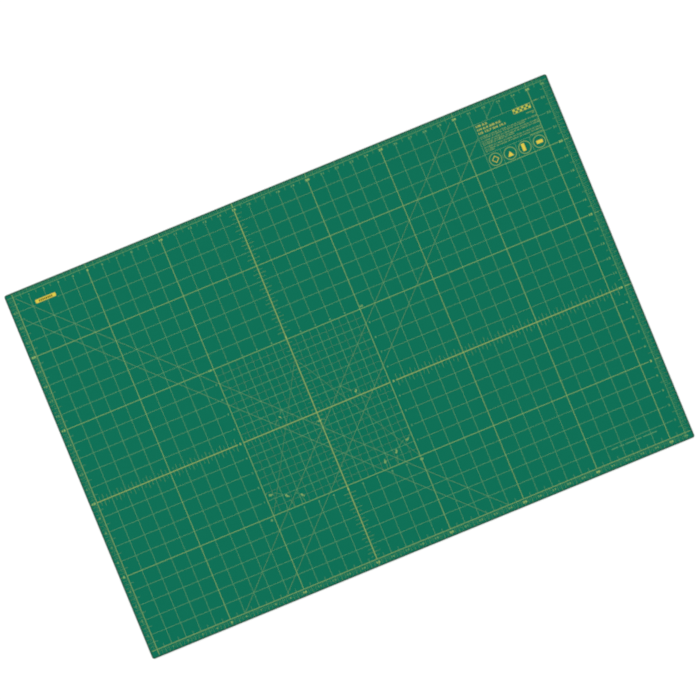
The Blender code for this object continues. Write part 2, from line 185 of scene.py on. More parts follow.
def soft_pvc(name, sheet):
    """Calendered soft PVC with its matte emboss and painted shade darkening the rim of the sheet."""
    made, tree, shader = new_material(name, FACE_ROUGHNESS, PVC_SPECULAR)
    place = add_node(tree, "ShaderNodeTexCoord").outputs["Object"]
    clouds = add_node(tree, "ShaderNodeTexNoise", inputs={
        "Vector": place, "Scale": 1 / CLOUD_SIZE, "Detail": 2.0, "Roughness": NOISE_ROUGHNESS})
    grain = add_node(tree, "ShaderNodeTexNoise", inputs={
        "Vector": place, "Scale": 1 / GRAIN_SIZE, "Detail": 1.0, "Roughness": NOISE_ROUGHNESS})
    cloudy = add_node(tree, "ShaderNodeMix", COLOUR_MIX, {
        AMOUNT: clouds.outputs["Fac"], FIRST_COLOUR: colour(FACE_GREEN),
        SECOND_COLOUR: colour(FACE_GREEN_PALE)})
    # Painted shade: the colour darkens towards the outline of the sheet.
    with_painted_rim_shade = add_node(tree, "ShaderNodeMix", COLOUR_MIX, {
        AMOUNT: rim_amount(tree, place, sheet), FIRST_COLOUR: cloudy.outputs[BLEND],
        SECOND_COLOUR: colour(RIM_PAINTED_SHADE)})
    bump = add_node(tree, "ShaderNodeBump", inputs={
        "Strength": GRAIN_STRENGTH, "Distance": GRAIN_DEPTH, "Height": grain.outputs["Fac"]})
    dullness = add_node(tree, "ShaderNodeMapRange", inputs={
        "Value": grain.outputs["Fac"], "To Min": SMOOTHEST, "To Max": ROUGHEST})
    tree.links.new(with_painted_rim_shade.outputs[BLEND], shader.inputs["Base Color"])
    tree.links.new(bump.outputs["Normal"], shader.inputs["Normal"])
    tree.links.new(dullness.outputs[0], shader.inputs["Roughness"])
    return made


FACES = {"top_cutting_sheet": "calendered_soft_pvc", "bottom_cutting_sheet": "calendered_soft_pvc_reverse"}
for sheet, name in FACES.items():
    nodes[sheet].data.materials[0] = soft_pvc(name, sheet)
print("faces dressed:", list(FACES))

# %% [markdown]
# ## The sheets inside
#
# Of the two backing sheets and the core only the cut edge shows, as hairlines round the mat. The
# backing is firmer, darker PVC, and the core a stiff grey one. The die shears them, which leaves fine
# upright streaks. Streaks come from a noise pattern that is stretched along Z, so they stand across
# the thickness.

# %% The sheared edges of the backing sheets and the core
STREAK_WIDTH = 0.0007
STREAK_STRETCH = 0.05
STREAK_STRENGTH = 0.4
EDGE_ROUGHNESS = 0.55
EDGE_SPECULAR = 0.3


def sheared_pvc(name, dark, pale):
    """Stamped edge of a firm sheet: upright streaks between two shades."""
    made, tree, shader = new_material(name, EDGE_ROUGHNESS, EDGE_SPECULAR)
    place = add_node(tree, "ShaderNodeTexCoord").outputs["Object"]
    stretched = add_node(tree, "ShaderNodeMapping", inputs={
        "Vector": place, "Scale": (1, 1, STREAK_STRETCH)})
    streaks = add_node(tree, "ShaderNodeTexNoise", inputs={
        "Vector": stretched.outputs[0], "Scale": 1 / STREAK_WIDTH, "Detail": 2.0,
        "Roughness": NOISE_ROUGHNESS})
    shades = add_node(tree, "ShaderNodeMix", COLOUR_MIX, {
        AMOUNT: streaks.outputs["Fac"], FIRST_COLOUR: colour(dark), SECOND_COLOUR: colour(pale)})
    bump = add_node(tree, "ShaderNodeBump", inputs={
        "Strength": STREAK_STRENGTH, "Distance": GRAIN_DEPTH, "Height": streaks.outputs["Fac"]})
    tree.links.new(shades.outputs[BLEND], shader.inputs["Base Color"])
    tree.links.new(bump.outputs["Normal"], shader.inputs["Normal"])
    return made


firm_green = sheared_pvc("sheared_firm_green_pvc", "#0a5140", "#125f4b")
stiff_grey = sheared_pvc("sheared_stiff_grey_core", "#343936", "#464c49")
for name in ("upper_backing_sheet", "lower_backing_sheet"):
    nodes[name].data.materials[0] = firm_green
nodes["core_sheet"].data.materials[0] = stiff_grey
print("inner sheets dressed:", firm_green.name, stiff_grey.name)

# %% [markdown]
# ## The screen-printed ink
#
# The ink is a yellow vinyl ink, pressed through a mesh. A wide line gets a full load and looks yellow.
# A hairline gets less, and the green shines through, so it looks dull and greenish. One function makes
# every ink, from the colour of its thin lines and that of its bold ones. Several films hold both: a
# border with the thin lines that start on it, or a ruler whose ticks are bolder at every fifth inch.
# The bolder ones all lie on counts of five, so the shader folds the distance back and forth every
# five inches and looks where it comes near nothing. A little noise keeps the print from looking drawn
# by machine: the ink sits thinner where the emboss of the sheet is deep.

# %% Ink for every printed line of the frame
BOLD_BAND = 0.0006
INK_GAP_SIZE = 0.0006
INK_GAP_AMOUNT = 0.16
INK_GAP_START = 0.35
INK_GAP_END = 0.75
INK_STRENGTH = 0.3
INK_ROUGHNESS = 0.6

HAIR_INK = "#7b9d6c"
THIN_INK = "#7cae73"
SIXTY_INK = "#669562"
ANGLE_INK = "#7ba56b"
FAR_BORDER_INK = "#7aa861"
TICK_INK = "#7faa61"
FIVE_INCH_INK = "#96ba67"
LEAD_BORDER_INK = "#92ac5f"
CENTRE_INK = "#a0b55e"


def on_a_fifth_inch(tree, place):
    """1 on the lines that are counts of five from the corner of the grid, and 0 elsewhere."""
    axes = add_node(tree, "ShaderNodeSeparateXYZ", inputs={"Vector": place})
    gaps = []
    for axis, start in (("X", GRID_LEFT), ("Y", GRID_BOTTOM)):
        run = add_node(tree, "ShaderNodeMath", {"operation": "SUBTRACT"}, {0: axes.outputs[axis], 1: start})
        fold = {0: run.outputs[0], 1: BOLD_STEP * INCH / 2}
        gaps.append(add_node(tree, "ShaderNodeMath", {"operation": "PINGPONG"}, fold).outputs[0])
    nearest = add_node(tree, "ShaderNodeMath", {"operation": "MINIMUM"}, {0: gaps[0], 1: gaps[1]})
    return add_node(tree, "ShaderNodeMath", {"operation": "LESS_THAN"},
                    {0: nearest.outputs[0], 1: BOLD_BAND}).outputs[0]


def screen_ink(name, thin, bold=None):
    """Screen-printed vinyl ink: the colour of its thin lines and, on counts of five, its bold ones."""
    made, tree, shader = new_material(name, INK_ROUGHNESS, PVC_SPECULAR)
    place = add_node(tree, "ShaderNodeTexCoord").outputs["Object"]
    ink = colour(thin)
    if bold:
        loads = add_node(tree, "ShaderNodeMix", COLOUR_MIX, {
            AMOUNT: on_a_fifth_inch(tree, place), FIRST_COLOUR: ink, SECOND_COLOUR: colour(bold)})
        ink = loads.outputs[BLEND]
    valleys = add_node(tree, "ShaderNodeTexNoise", inputs={
        "Vector": place, "Scale": 1 / INK_GAP_SIZE, "Detail": 1.0, "Roughness": NOISE_ROUGHNESS})
    missing = add_node(tree, "ShaderNodeMapRange", inputs={
        "Value": valleys.outputs["Fac"], "From Min": INK_GAP_START, "From Max": INK_GAP_END,
        "To Min": 0.0, "To Max": INK_GAP_AMOUNT})
    thinned = add_node(tree, "ShaderNodeMix", COLOUR_MIX, {
        AMOUNT: missing.outputs[0], FIRST_COLOUR: ink, SECOND_COLOUR: colour(FACE_GREEN)})
    bump = add_node(tree, "ShaderNodeBump", inputs={
        "Strength": INK_STRENGTH, "Distance": GRAIN_DEPTH, "Height": valleys.outputs["Fac"]})
    tree.links.new(thinned.outputs[BLEND], shader.inputs["Base Color"])
    tree.links.new(bump.outputs["Normal"], shader.inputs["Normal"])
    return made


INK_LOADS = {
    "upright_inch_lines": (THIN_INK, LEAD_BORDER_INK),
    "across_inch_lines": (THIN_INK, LEAD_BORDER_INK),
    "over_square_lines": (THIN_INK, FIVE_INCH_INK),
    "beside_square_lines": (THIN_INK, FIVE_INCH_INK),
    "square_inch_lines": (THIN_INK, None),
    "half_inch_lines": (HAIR_INK, None),
    "top_ruler": (FAR_BORDER_INK, FIVE_INCH_INK),
    "right_ruler": (FAR_BORDER_INK, FIVE_INCH_INK),
    "five_inch_lines": (FIVE_INCH_INK, None),
    "centre_cross": (CENTRE_INK, None),
    "centre_ruler_left": (TICK_INK, CENTRE_INK),
    "centre_ruler_right": (TICK_INK, CENTRE_INK),
    "centre_ruler_bottom": (TICK_INK, CENTRE_INK),
    "centre_ruler_top": (TICK_INK, CENTRE_INK),
    "angle_lines_45": (ANGLE_INK, None),
    "angle_lines_60": (SIXTY_INK, None),
}
for name, (thin, bold) in INK_LOADS.items():
    nodes[name].data.materials[0] = screen_ink("vinyl_ink_" + name, thin, bold)
print("printed films dressed:", len(INK_LOADS))

# %% [markdown]
# ## Strokes of ink
#
# The marks that are still missing are strokes and solid shapes of the same ink. Each starts as a flat
# primitive at its size and place, and Solidify gives it the thickness of an ink film. A stroke runs
# between two places on the grid: a plane is stretched along the run and turned to it. A last helper
# finishes a piece. It puts its place into its mesh, gives it its ink, and lets it ride on the mat.


# %% Helpers for flat strokes
def deselect_all():
    """Operators act on everything selected, so each step starts with nothing selected."""
    bpy.ops.object.select_all(action="DESELECT")


def thicken(piece):
    """Gives a flat piece the thickness of an ink film, upwards."""
    solid = piece.modifiers.new("ink_film", "SOLIDIFY")
    solid.thickness = INK_FILM
    solid.offset = 1.0
    bpy.ops.object.modifier_apply(modifier=solid.name)


def stroke(start, end, width):
    """A straight stroke of ink between two points."""
    deselect_all()
    run = end - start
    turn = math.atan2(run.y, run.x)
    bpy.ops.mesh.primitive_plane_add(size=1, location=(start + end) / 2, rotation=(0, 0, turn))
    piece = bpy.context.object
    piece.scale = (run.length, width, 1)
    bpy.ops.object.transform_apply(location=True, rotation=True, scale=True)
    thicken(piece)
    return piece


def join(pieces, name):
    """Joins pieces into one with a name of its own."""
    deselect_all()
    for piece in pieces:
        piece.select_set(True)
    bpy.context.view_layer.objects.active = pieces[0]
    bpy.ops.object.join()
    pieces[0].name = name
    return pieces[0]


def finish_piece(piece, ink):
    """Puts the place of a piece in its mesh, gives it its ink, and lets it ride on the mat."""
    deselect_all()
    piece.select_set(True)
    bpy.context.view_layer.objects.active = piece
    bpy.ops.object.transform_apply(location=True, rotation=True, scale=True)
    piece.data.materials.clear()
    piece.data.materials.append(ink)
    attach(piece, "root")
    print(f"{piece.name}: {len(piece.data.polygons)} faces")


tick_ink = screen_ink("vinyl_ink_fine_ticks", TICK_INK)
print("ink for strokes:", tick_ink.name)

# %% [markdown]
# ## Fine ticks round the border
#
# The frame has the ticks at each half inch. Outside the borders a real mat also counts quarters and
# eighths, which get shorter as they get finer. The longest ticks, at each half and whole inch, run a
# little further out than the frame's, so they get an end piece. One inch of ticks is modelled stroke by
# stroke, and an Array modifier repeats it along the border, because the rest is the same inch again.

# %% Quarter and eighth ticks along each border
EIGHTH_WIDTH = 0.00016
QUARTER_WIDTH = 0.00025
LONG_TICK_WIDTH = 0.00040
EIGHTHS = (0.125, 0.375, 0.625, 0.875)
QUARTERS = (0.25, 0.75)
HALVES = (0.5, 1.0)


def repeat(piece, step, count):
    """Repeats a piece count times, each time one step further on."""
    deselect_all()
    piece.select_set(True)
    bpy.context.view_layer.objects.active = piece
    array = piece.modifiers.new("repeat", "ARRAY")
    array.count = count
    array.use_relative_offset = False
    array.use_constant_offset = True
    array.constant_offset_displace = step
    bpy.ops.object.modifier_apply(modifier=array.name)


def fine_ticks(name, corner, along, across, count, eighth, quarter, half):
    """The ticks of every inch; eighth, quarter and half give the two ends of such a tick, in metres."""
    pieces = []
    for places, (low, high), width in ((EIGHTHS, eighth, EIGHTH_WIDTH), (QUARTERS, quarter, QUARTER_WIDTH),
                                       (HALVES, half, LONG_TICK_WIDTH)):
        for place in places:
            foot = corner + along * (place * INCH)
            pieces.append(stroke(foot + across * low, foot + across * high, width))
    inch = join(pieces, name)
    repeat(inch, along * INCH, count)
    finish_piece(inch, tick_ink)


RIGHT = Vector((1, 0, 0))
UP = Vector((0, 1, 0))
LEAD_EDGE = 0.00040
FAR_EDGE = 0.00025
LONG_EIGHTH = 0.0064
LONG_QUARTER = 0.0095
LONG_END = (0.0070, 0.0103)
SHORT_EIGHTH = 0.0054
SHORT_QUARTER = 0.0055
SHORT_END = (0.0030, 0.0062)
fine_ticks("bottom_fine_ticks", at(0, 0, MARK_LEVEL), RIGHT, -UP, COLUMNS,
           (LEAD_EDGE, LONG_EIGHTH), (LEAD_EDGE, LONG_QUARTER), LONG_END)
fine_ticks("top_fine_ticks", at(0, ROWS, MARK_LEVEL), RIGHT, UP, COLUMNS,
           (FAR_EDGE, SHORT_EIGHTH), (FAR_EDGE, SHORT_QUARTER), SHORT_END)
fine_ticks("left_fine_ticks", at(0, 0, MARK_LEVEL), UP, -RIGHT, ROWS,
           (LEAD_EDGE, LONG_EIGHTH), (LEAD_EDGE, LONG_QUARTER), LONG_END)
fine_ticks("right_fine_ticks", at(COLUMNS, 0, MARK_LEVEL), UP, RIGHT, ROWS,
           (FAR_EDGE, LONG_EIGHTH), (FAR_EDGE, LONG_QUARTER), LONG_END)

# %% [markdown]
# ## Ticks on the heavy centre lines
#
# The two heavy lines are rulers as well, so that a piece of cloth can be centred on them. They count
# quarters but no eighths, and leave one out beside the square and at the far borders, where a number
# stands. Outside the square the ticks at each half inch are there already, and get a wider stroke
# under them, because they are the boldest ticks of the print. A row of ticks is one stroke that an
# Array repeats, given by its direction and its first and last place in squares.

# %% Ticks across the centre lines
CENTRE_QUARTER = 0.0074
CENTRE_HALF = 0.0104
QUARTER = 0.25
HALF = 0.5
SKIPPED = 0.75
QUARTER_ROWS = (
    (RIGHT, QUARTER, SQUARE_LEFT - SKIPPED),
    (RIGHT, SQUARE_LEFT + QUARTER, SQUARE_RIGHT - QUARTER),
    (RIGHT, SQUARE_RIGHT + SKIPPED, COLUMNS - SKIPPED),
    (UP, QUARTER, SQUARE_BOTTOM - SKIPPED),
    (UP, SQUARE_BOTTOM + QUARTER, SQUARE_TOP - QUARTER),
    (UP, SQUARE_TOP + SKIPPED, ROWS - SKIPPED),
)
HALF_ROWS = (
    (RIGHT, HALF, SQUARE_LEFT - HALF),
    (RIGHT, SQUARE_RIGHT + HALF, COLUMNS - HALF),
    (UP, HALF, SQUARE_BOTTOM - HALF),
    (UP, SQUARE_TOP + HALF, ROWS - HALF),
)


def centre_ticks(along, first, last, step, reach, width):
    """A row of ticks across a centre line, from the first place to the last, counted in squares."""
    foot = at(first, CENTRE_Y, MARK_LEVEL) if along == RIGHT else at(CENTRE_X, first, MARK_LEVEL)
    across = UP if along == RIGHT else RIGHT
    tick = stroke(foot - across * reach, foot + across * reach, width)
    repeat(tick, along * (step * INCH), round((last - first) / step) + 1)
    return tick


quarter_ticks = [centre_ticks(*row, HALF, CENTRE_QUARTER, QUARTER_WIDTH) for row in QUARTER_ROWS]
finish_piece(join(quarter_ticks, "centre_quarter_ticks"), tick_ink)
half_ticks = [centre_ticks(*row, 1, CENTRE_HALF, LONG_TICK_WIDTH) for row in HALF_ROWS]
finish_piece(join(half_ticks, "centre_half_ticks"), tick_ink)

# %% [markdown]
# ## Numbers
#
# Numbers are printed in a plain sans serif, so Blender's own font will do. A number starts as a text
# object, sized by the height of its digits. It is made a mesh and welded, so that it is one closed
# film. The font leaves a few slivers of faces that point the wrong way, so these are dissolved and
# the rest turned outwards. Each number is modelled once and copied to wherever it is printed. A
# style says how high the digits are, how far their outline is pushed outwards to make them bold, how
# much they are stretched sideways and spaced, and in how many steps their curves are drawn.

# %% Helpers for printed numbers
FONT_DIGIT_HEIGHT = 0.7
WELD_GAP = 1e-7
SLIVER_WIDTH = 1e-6
number_shapes = {}


def style(height, weight, stretch=1.22, spacing=1.0, curve_steps=3):
    """How a kind of number is printed; height and weight are in metres."""
    return height, weight, stretch, spacing, curve_steps


def number_shape(words, look):
    """A number as a closed film, centred on the origin; modelled once and kept for copies."""
    if (words, look) not in number_shapes:
        height, weight, stretch, spacing, curve_steps = look
        deselect_all()
        bpy.ops.object.text_add(location=(0, 0, 0))
        text = bpy.context.object
        text.data.body = words
        text.data.size = height / FONT_DIGIT_HEIGHT
        text.data.offset = weight
        text.data.space_character = spacing
        text.data.extrude = INK_FILM / 2
        text.data.resolution_u = curve_steps
        bpy.ops.object.convert(target="MESH")
        shape = bpy.context.object
        bpy.ops.object.mode_set(mode="EDIT")
        bpy.ops.mesh.select_all(action="SELECT")
        bpy.ops.mesh.remove_doubles(threshold=WELD_GAP)
        bpy.ops.mesh.dissolve_degenerate(threshold=SLIVER_WIDTH)
        bpy.ops.mesh.normals_make_consistent(inside=False)
        bpy.ops.object.mode_set(mode="OBJECT")
        bpy.ops.object.origin_set(type="ORIGIN_GEOMETRY", center="BOUNDS")
        shape.location = (0, 0, 0)
        shape.scale.x = stretch
        bpy.ops.object.transform_apply(location=True, rotation=True, scale=True)
        number_shapes[words, look] = shape.data.copy()
        bpy.data.objects.remove(shape)
    return number_shapes[words, look]


def put_number(words, place, look, turn=0.0):
    """A copy of a number, with a mesh of its own, at a place and turned by an angle."""
    piece = bpy.data.objects.new("number", number_shape(words, look).copy())
    bpy.context.scene.collection.objects.link(piece)
    piece.location = place
    piece.location.z += INK_FILM / 2
    piece.rotation_euler.z = turn
    return piece


number_ink = screen_ink("vinyl_ink_numbers", "#7fab66")
bold_number_ink = screen_ink("vinyl_ink_bold_numbers", "#9ebb67")
print("height of a digit in this font, at size 1:", FONT_DIGIT_HEIGHT)

# %% [markdown]
# ## The border numbers
#
# All four borders are numbered: those along the mat from 1 to 36 and those up its sides from 1 to 23.
# The bottom and left numbers stand outside the grid, and the top and right ones inside it, in the room
# that the grid lines leave at their ends. The digits are as wide as they are high, and those at every
# fifth inch are bold.

# %% Numbers along the four borders
SMALL_NUMBER = style(0.0031, 0.00002, 1.5, 1.1)
FIFTH_NUMBER = style(0.0030, 0.00020, 1.5, 1.1)
BELOW_GRID = 0.205
LEFT_OF_GRID = 0.21
UNDER_TOP = 0.18
INSIDE_RIGHT = 0.26
BOTTOM_SHIFT = 0.01
TOP_SHIFT = 0.02


def border_numbers(border, last, start, along):
    """The numbers of a border as two pieces, small ones and bold fifths; start is where 0 would be."""
    small = []
    fifth = []
    for count in range(1, last + 1):
        place = start + along * (count * INCH)
        if count % BOLD_STEP:
            small.append(put_number(str(count), place, SMALL_NUMBER))
        else:
            fifth.append(put_number(str(count), place, FIFTH_NUMBER))
    finish_piece(join(small, border + "_numbers"), number_ink)
    finish_piece(join(fifth, border + "_fifth_numbers"), bold_number_ink)


border_numbers("bottom", COLUMNS, at(BOTTOM_SHIFT, -BELOW_GRID, NUMBER_LEVEL), RIGHT)
border_numbers("top", COLUMNS, at(TOP_SHIFT, ROWS - UNDER_TOP, NUMBER_LEVEL), RIGHT)
border_numbers("left", ROWS - 1, at(-LEFT_OF_GRID, 0, NUMBER_LEVEL), UP)
border_numbers("right", ROWS - 1, at(COLUMNS - INSIDE_RIGHT, 0, NUMBER_LEVEL), UP)

# %% [markdown]
# ## The numbers round the middle square
#
# The square with the half inch grid has a count of its own, from 0 at its lower left corner to 10. The
# numbers sit just outside it, where the frame has left gaps in the grid lines. The fives are bold. Those
# above and below the square have the heavy upright line running through them.

# %% Numbers round the square
SQUARE_NUMBER = style(0.0029, 0.00003, 1.45)
SQUARE_END_NUMBER = style(0.0030, 0.00016, 1.4)
NUMBER_COLUMNS = (SQUARE_LEFT - 0.22, SQUARE_RIGHT + 0.24)
NUMBER_ROWS = (SQUARE_BOTTOM - 0.22, SQUARE_TOP + 0.135)
square_numbers = []
square_fives = []
for count in range(1, SQUARE_RIGHT - SQUARE_LEFT):
    look, row = (SQUARE_NUMBER, square_numbers) if count % BOLD_STEP else (SQUARE_END_NUMBER, square_fives)
    places = [(x, SQUARE_BOTTOM + count) for x in NUMBER_COLUMNS]
    places += [(SQUARE_LEFT + count, y) for y in NUMBER_ROWS]
    for x, y in places:
        row.append(put_number(str(count), at(x, y, NUMBER_LEVEL), look))
square_ink = screen_ink("vinyl_ink_square_numbers", "#6da36b")
finish_piece(join(square_numbers, "square_numbers"), square_ink)
finish_piece(join(square_fives, "square_fives"), bold_number_ink)

SQUARE_ENDS = (("0", 9.79, 4.78), ("10", 20.02, 4.78), ("10", 20.15, 15.15), ("10", 9.77, 15.0))
end_numbers = [put_number(words, at(x, y, NUMBER_LEVEL), SQUARE_END_NUMBER) for words, x, y in SQUARE_ENDS]
finish_piece(join(end_numbers, "square_end_numbers"), number_ink)

# %% [markdown]
# ## The ends of a few lines
#
# Some lines have an end that the frame leaves out. The plain field in the top right corner cuts off
# three upright lines above it, one beside it and a 45 degree line. The lines that run to the right
# border stop just short of its numbers. Below and left of the grid each inch has a tick that its number
# interrupts, so only the outer end of it shows. And the heavy upright line goes on through the numbers
# above and below the square. Each end runs between two places counted in squares.

# %% Line ends round the field and at the numbers
THIN_WIDTH = 0.00035
ANGLE_WIDTH = 0.0004
FIFTH_WIDTH = 0.00065
HEAVY_WIDTH = 0.00105
ENDS_ROUND_FIELD = ((32, 23.0, 32, 23.72, THIN_WIDTH), (33, 23.0, 33, 23.72, THIN_WIDTH),
                    (34, 23.0, 34, 23.72, THIN_WIDTH), (35.0, 22, 35.5, 22, THIN_WIDTH),
                    (31.93, 23.1, 32.83, 23.97, ANGLE_WIDTH))
RIGHT_ENDS = (35.49, 35.575)
LEFT_ENDS = (-0.345, -0.425)
BOTTOM_ENDS = (-0.28, -0.385)
HEAVY_ENDS = ((4.68, SQUARE_BOTTOM), (SQUARE_TOP, 15.32))


def line_width(count, centre):
    """The width of the grid line at a count of inches; the one at the centre is the heaviest."""
    if count == centre:
        return HEAVY_WIDTH
    return THIN_WIDTH if count % BOLD_STEP else FIFTH_WIDTH


def line_end(x, y, end_x, end_y, width):
    """An end of a grid line, from one place to another."""
    return stroke(at(x, y, MARK_LEVEL), at(end_x, end_y, MARK_LEVEL), width)


thin_ink = screen_ink("vinyl_ink_line_ends", THIN_INK, FIVE_INCH_INK)
line_ends = [line_end(*end) for end in ENDS_ROUND_FIELD]
for y in range(1, ROWS - 1):
    for x, end_x in (RIGHT_ENDS, LEFT_ENDS):
        line_ends.append(line_end(x, y, end_x, y, line_width(y, CENTRE_Y)))
for x in range(1, COLUMNS):
    line_ends.append(line_end(x, BOTTOM_ENDS[0], x, BOTTOM_ENDS[1], line_width(x, CENTRE_X)))
finish_piece(join(line_ends, "line_ends"), thin_ink)

centre_ink = screen_ink("vinyl_ink_centre_line_ends", CENTRE_INK)
centre_ends = [line_end(CENTRE_X, y, CENTRE_X, end_y, HEAVY_WIDTH) for y, end_y in HEAVY_ENDS]
finish_piece(join(centre_ends, "centre_line_ends"), centre_ink)

# %% [markdown]
# ## Angle marks
#
# In the lower corners of the square, arcs show which line stands at 30, 45 and 60 degrees, and one
# over the middle shows 90. An arc is a small upright section, the width of the stroke and the height
# of the film, that the Spin operator sweeps round the corner. It stops short on both sides of its
# label. Spin can turn a shape inside out, so its normals are set straight afterwards. The two corners
# mirror each other, so their arcs are made in pairs. Arcs are given by the two angles they run between.

# %% Arcs and their labels
ARC_WIDTH = 0.00035
ARC_STEP = math.radians(4)
HALF_TURN = 180
OUTER_RADIUS = 1.45 * INCH
INNER_RADIUS = 1.2 * INCH
TOP_RADIUS = 0.5 * INCH
OUTER_ARCS = ((2, 24), (43, 66), (84, 88))
INNER_ARCS = ((2, 18), (36, 44))
TOP_ARCS = ((46, 78), (102, 134))


def arc(centre, radius, start, end):
    """An arc of ink from one angle to another, in degrees, anticlockwise."""
    deselect_all()
    sweep = math.radians(end - start)
    turn = math.radians(start)
    bpy.ops.mesh.primitive_plane_add(size=1, location=(0, 0, 0))
    piece = bpy.context.object
    bpy.ops.object.mode_set(mode="EDIT")
    bpy.ops.mesh.select_all(action="SELECT")
    bpy.ops.transform.rotate(value=math.pi / 2, orient_axis="X", center_override=(0, 0, 0))
    bpy.ops.transform.resize(value=(ARC_WIDTH, 1, INK_FILM), center_override=(0, 0, 0))
    bpy.ops.transform.translate(value=(radius, 0, INK_FILM / 2))
    bpy.ops.mesh.spin(steps=max(2, round(sweep / ARC_STEP)), angle=-sweep, center=(0, 0, 0), axis=(0, 0, 1))
    bpy.ops.mesh.select_all(action="SELECT")
    bpy.ops.mesh.normals_make_consistent(inside=False)
    bpy.ops.object.mode_set(mode="OBJECT")
    piece.location = centre
    piece.rotation_euler.z = turn
    bpy.ops.object.transform_apply(location=True, rotation=True, scale=True)
    return piece


def arc_pair(inset, radius, start, end):
    """An arc and its mirror image, at places that many squares inwards from the lower corners."""
    left = at(SQUARE_LEFT + inset, SQUARE_BOTTOM, MARK_LEVEL)
    right = at(SQUARE_RIGHT - inset, SQUARE_BOTTOM, MARK_LEVEL)
    return [arc(left, radius, start, end), arc(right, radius, HALF_TURN - end, HALF_TURN - start)]


arcs = []
for start, end in OUTER_ARCS:
    arcs += arc_pair(0, OUTER_RADIUS, start, end)
for start, end in INNER_ARCS:
    arcs += arc_pair(1, INNER_RADIUS, start, end)
for start, end in TOP_ARCS:
    arcs.append(arc(at(CENTRE_X, CENTRE_Y - 1, MARK_LEVEL), TOP_RADIUS, start, end))
finish_piece(join(arcs, "angle_arcs"), tick_ink)

LABEL = style(0.0030, 0.00010)
ANGLE_LABELS = (("60", 11.28, 5.84, -57), ("30", 10.34, 6.28, -15), ("45", 12.18, 5.53, -65),
                ("60", 18.72, 5.84, 57), ("30", 19.66, 6.28, 15), ("45", 17.82, 5.51, 65),
                ("90", 15.0, 9.45, 0))
labels = []
for words, x, y, turn in ANGLE_LABELS:
    labels.append(put_number(words + "°", at(x, y, NUMBER_LEVEL), LABEL, math.radians(turn)))
finish_piece(join(labels, "angle_labels"), bold_number_ink)

# %% [markdown]
# ## The gauge numbers
#
# Each pair of 45 degree lines is a set distance apart, one inch and two inches. The short line between
# them has a gap in its middle for that number.

# %% Numbers in the gauges between the 45 degree lines
GAUGE_NUMBER = style(0.0038, 0.00022)
GAUGES = (("1", 12.74, 10.61, 45), ("2", 17.80, 10.34, -45))
gauge_numbers = [put_number(words, at(x, y, NUMBER_LEVEL), GAUGE_NUMBER, math.radians(turn))
                 for words, x, y, turn in GAUGES]
finish_piece(join(gauge_numbers, "gauge_numbers"), bold_number_ink)

# %% [markdown]
# ## The yellow plate at the top left
#
# A solid patch of yellow ink with rounded ends lies under the top border. It carries a plain scale of
# dark ticks here. The patch starts as a plane whose corners are bevelled, and the ticks are printed
# over it, one film higher.

# %% The plate and its ticks
PLATE_LEFT = 1.235
PLATE_RIGHT = 2.60
PLATE_BOTTOM = 23.085
PLATE_TOP = 23.32
PLATE_CORNER = 0.0011
CORNER_STEPS = 5
PLATE_TICKS = 8
PLATE_TICK_START = 1.50
PLATE_TICK_PITCH = 0.118
PLATE_TICK_WIDTH = 0.0020
PLATE_TICK_BOTTOM = 23.135
PLATE_TICK_TOP = 23.26


def rounded_patch(left, bottom, right, top, corner):
    """A flat patch with its sides counted in squares; the radius of its corners may be 0."""
    deselect_all()
    middle = (at(left, bottom, MARK_LEVEL) + at(right, top, MARK_LEVEL)) / 2
    bpy.ops.mesh.primitive_plane_add(size=1, location=middle)
    piece = bpy.context.object
    piece.scale = ((right - left) * INCH, (top - bottom) * INCH, 1)
    bpy.ops.object.transform_apply(location=True, rotation=True, scale=True)
    if corner:
        bpy.ops.object.mode_set(mode="EDIT")
        bpy.ops.mesh.select_all(action="SELECT")
        bpy.ops.mesh.bevel(offset=corner, offset_type="OFFSET", segments=CORNER_STEPS, affect="VERTICES")
        bpy.ops.object.mode_set(mode="OBJECT")
    thicken(piece)
    return piece


plate_ink = screen_ink("vinyl_ink_plate", "#dac644")
plate = rounded_patch(PLATE_LEFT, PLATE_BOTTOM, PLATE_RIGHT, PLATE_TOP, PLATE_CORNER)
plate.name = "scale_plate"
finish_piece(plate, plate_ink)

dark_ink = screen_ink("vinyl_ink_dark", "#453a0c")
plate_ticks = []
for index in range(PLATE_TICKS):
    x = PLATE_TICK_START + index * PLATE_TICK_PITCH
    foot = at(x, PLATE_TICK_BOTTOM, OVERPRINT_LEVEL)
    plate_ticks.append(stroke(foot, at(x, PLATE_TICK_TOP, OVERPRINT_LEVEL), PLATE_TICK_WIDTH))
finish_piece(join(plate_ticks, "scale_plate_ticks"), dark_ink)

# %% [markdown]
# ## The field at the top right
#
# The grid leaves a field free here. At its right is a scale bar in two rows of blocks, one row half a
# step on from the other, in a thin frame. A block fills a little under half of its step, so that the
# blocks of the two rows don't touch at their corners. One block is modelled, and an Array repeats it.
# A few rows of short marks stand round the bar and below it. Each is given by its left, right, bottom
# and top in squares, the step from mark to mark, and the share of the step that a mark fills.

# %% The scale bar and the short marks
BAR_LEFT = 33.66
BAR_RIGHT = 34.82
BAR_BOTTOM = 22.69
BAR_MIDDLE = 22.83
BAR_TOP = 22.97
BAR_PITCH = 0.29
BAR_SHARE = 0.48
BAR_RULE = 0.0006
SHORT_MARKS = ((34.10, 34.97, 21.05, 21.10, 0.2, 0.86), (34.40, 34.95, 22.43, 22.48, 0.1, 0.8),
               (34.76, 34.92, 22.33, 22.38, 0.08, 0.8), (35.15, 35.39, 22.995, 23.05, 0.12, 0.8))


def block_row(left, right, bottom, top, pitch, share):
    """A row of equal blocks from left to right; share is the part of a step that a block fills."""
    count = max(1, round((right - left) / pitch))
    step = (right - left) / count
    block = rounded_patch(left, bottom, left + step * share, top, 0)
    repeat(block, RIGHT * (step * INCH), count)
    return block


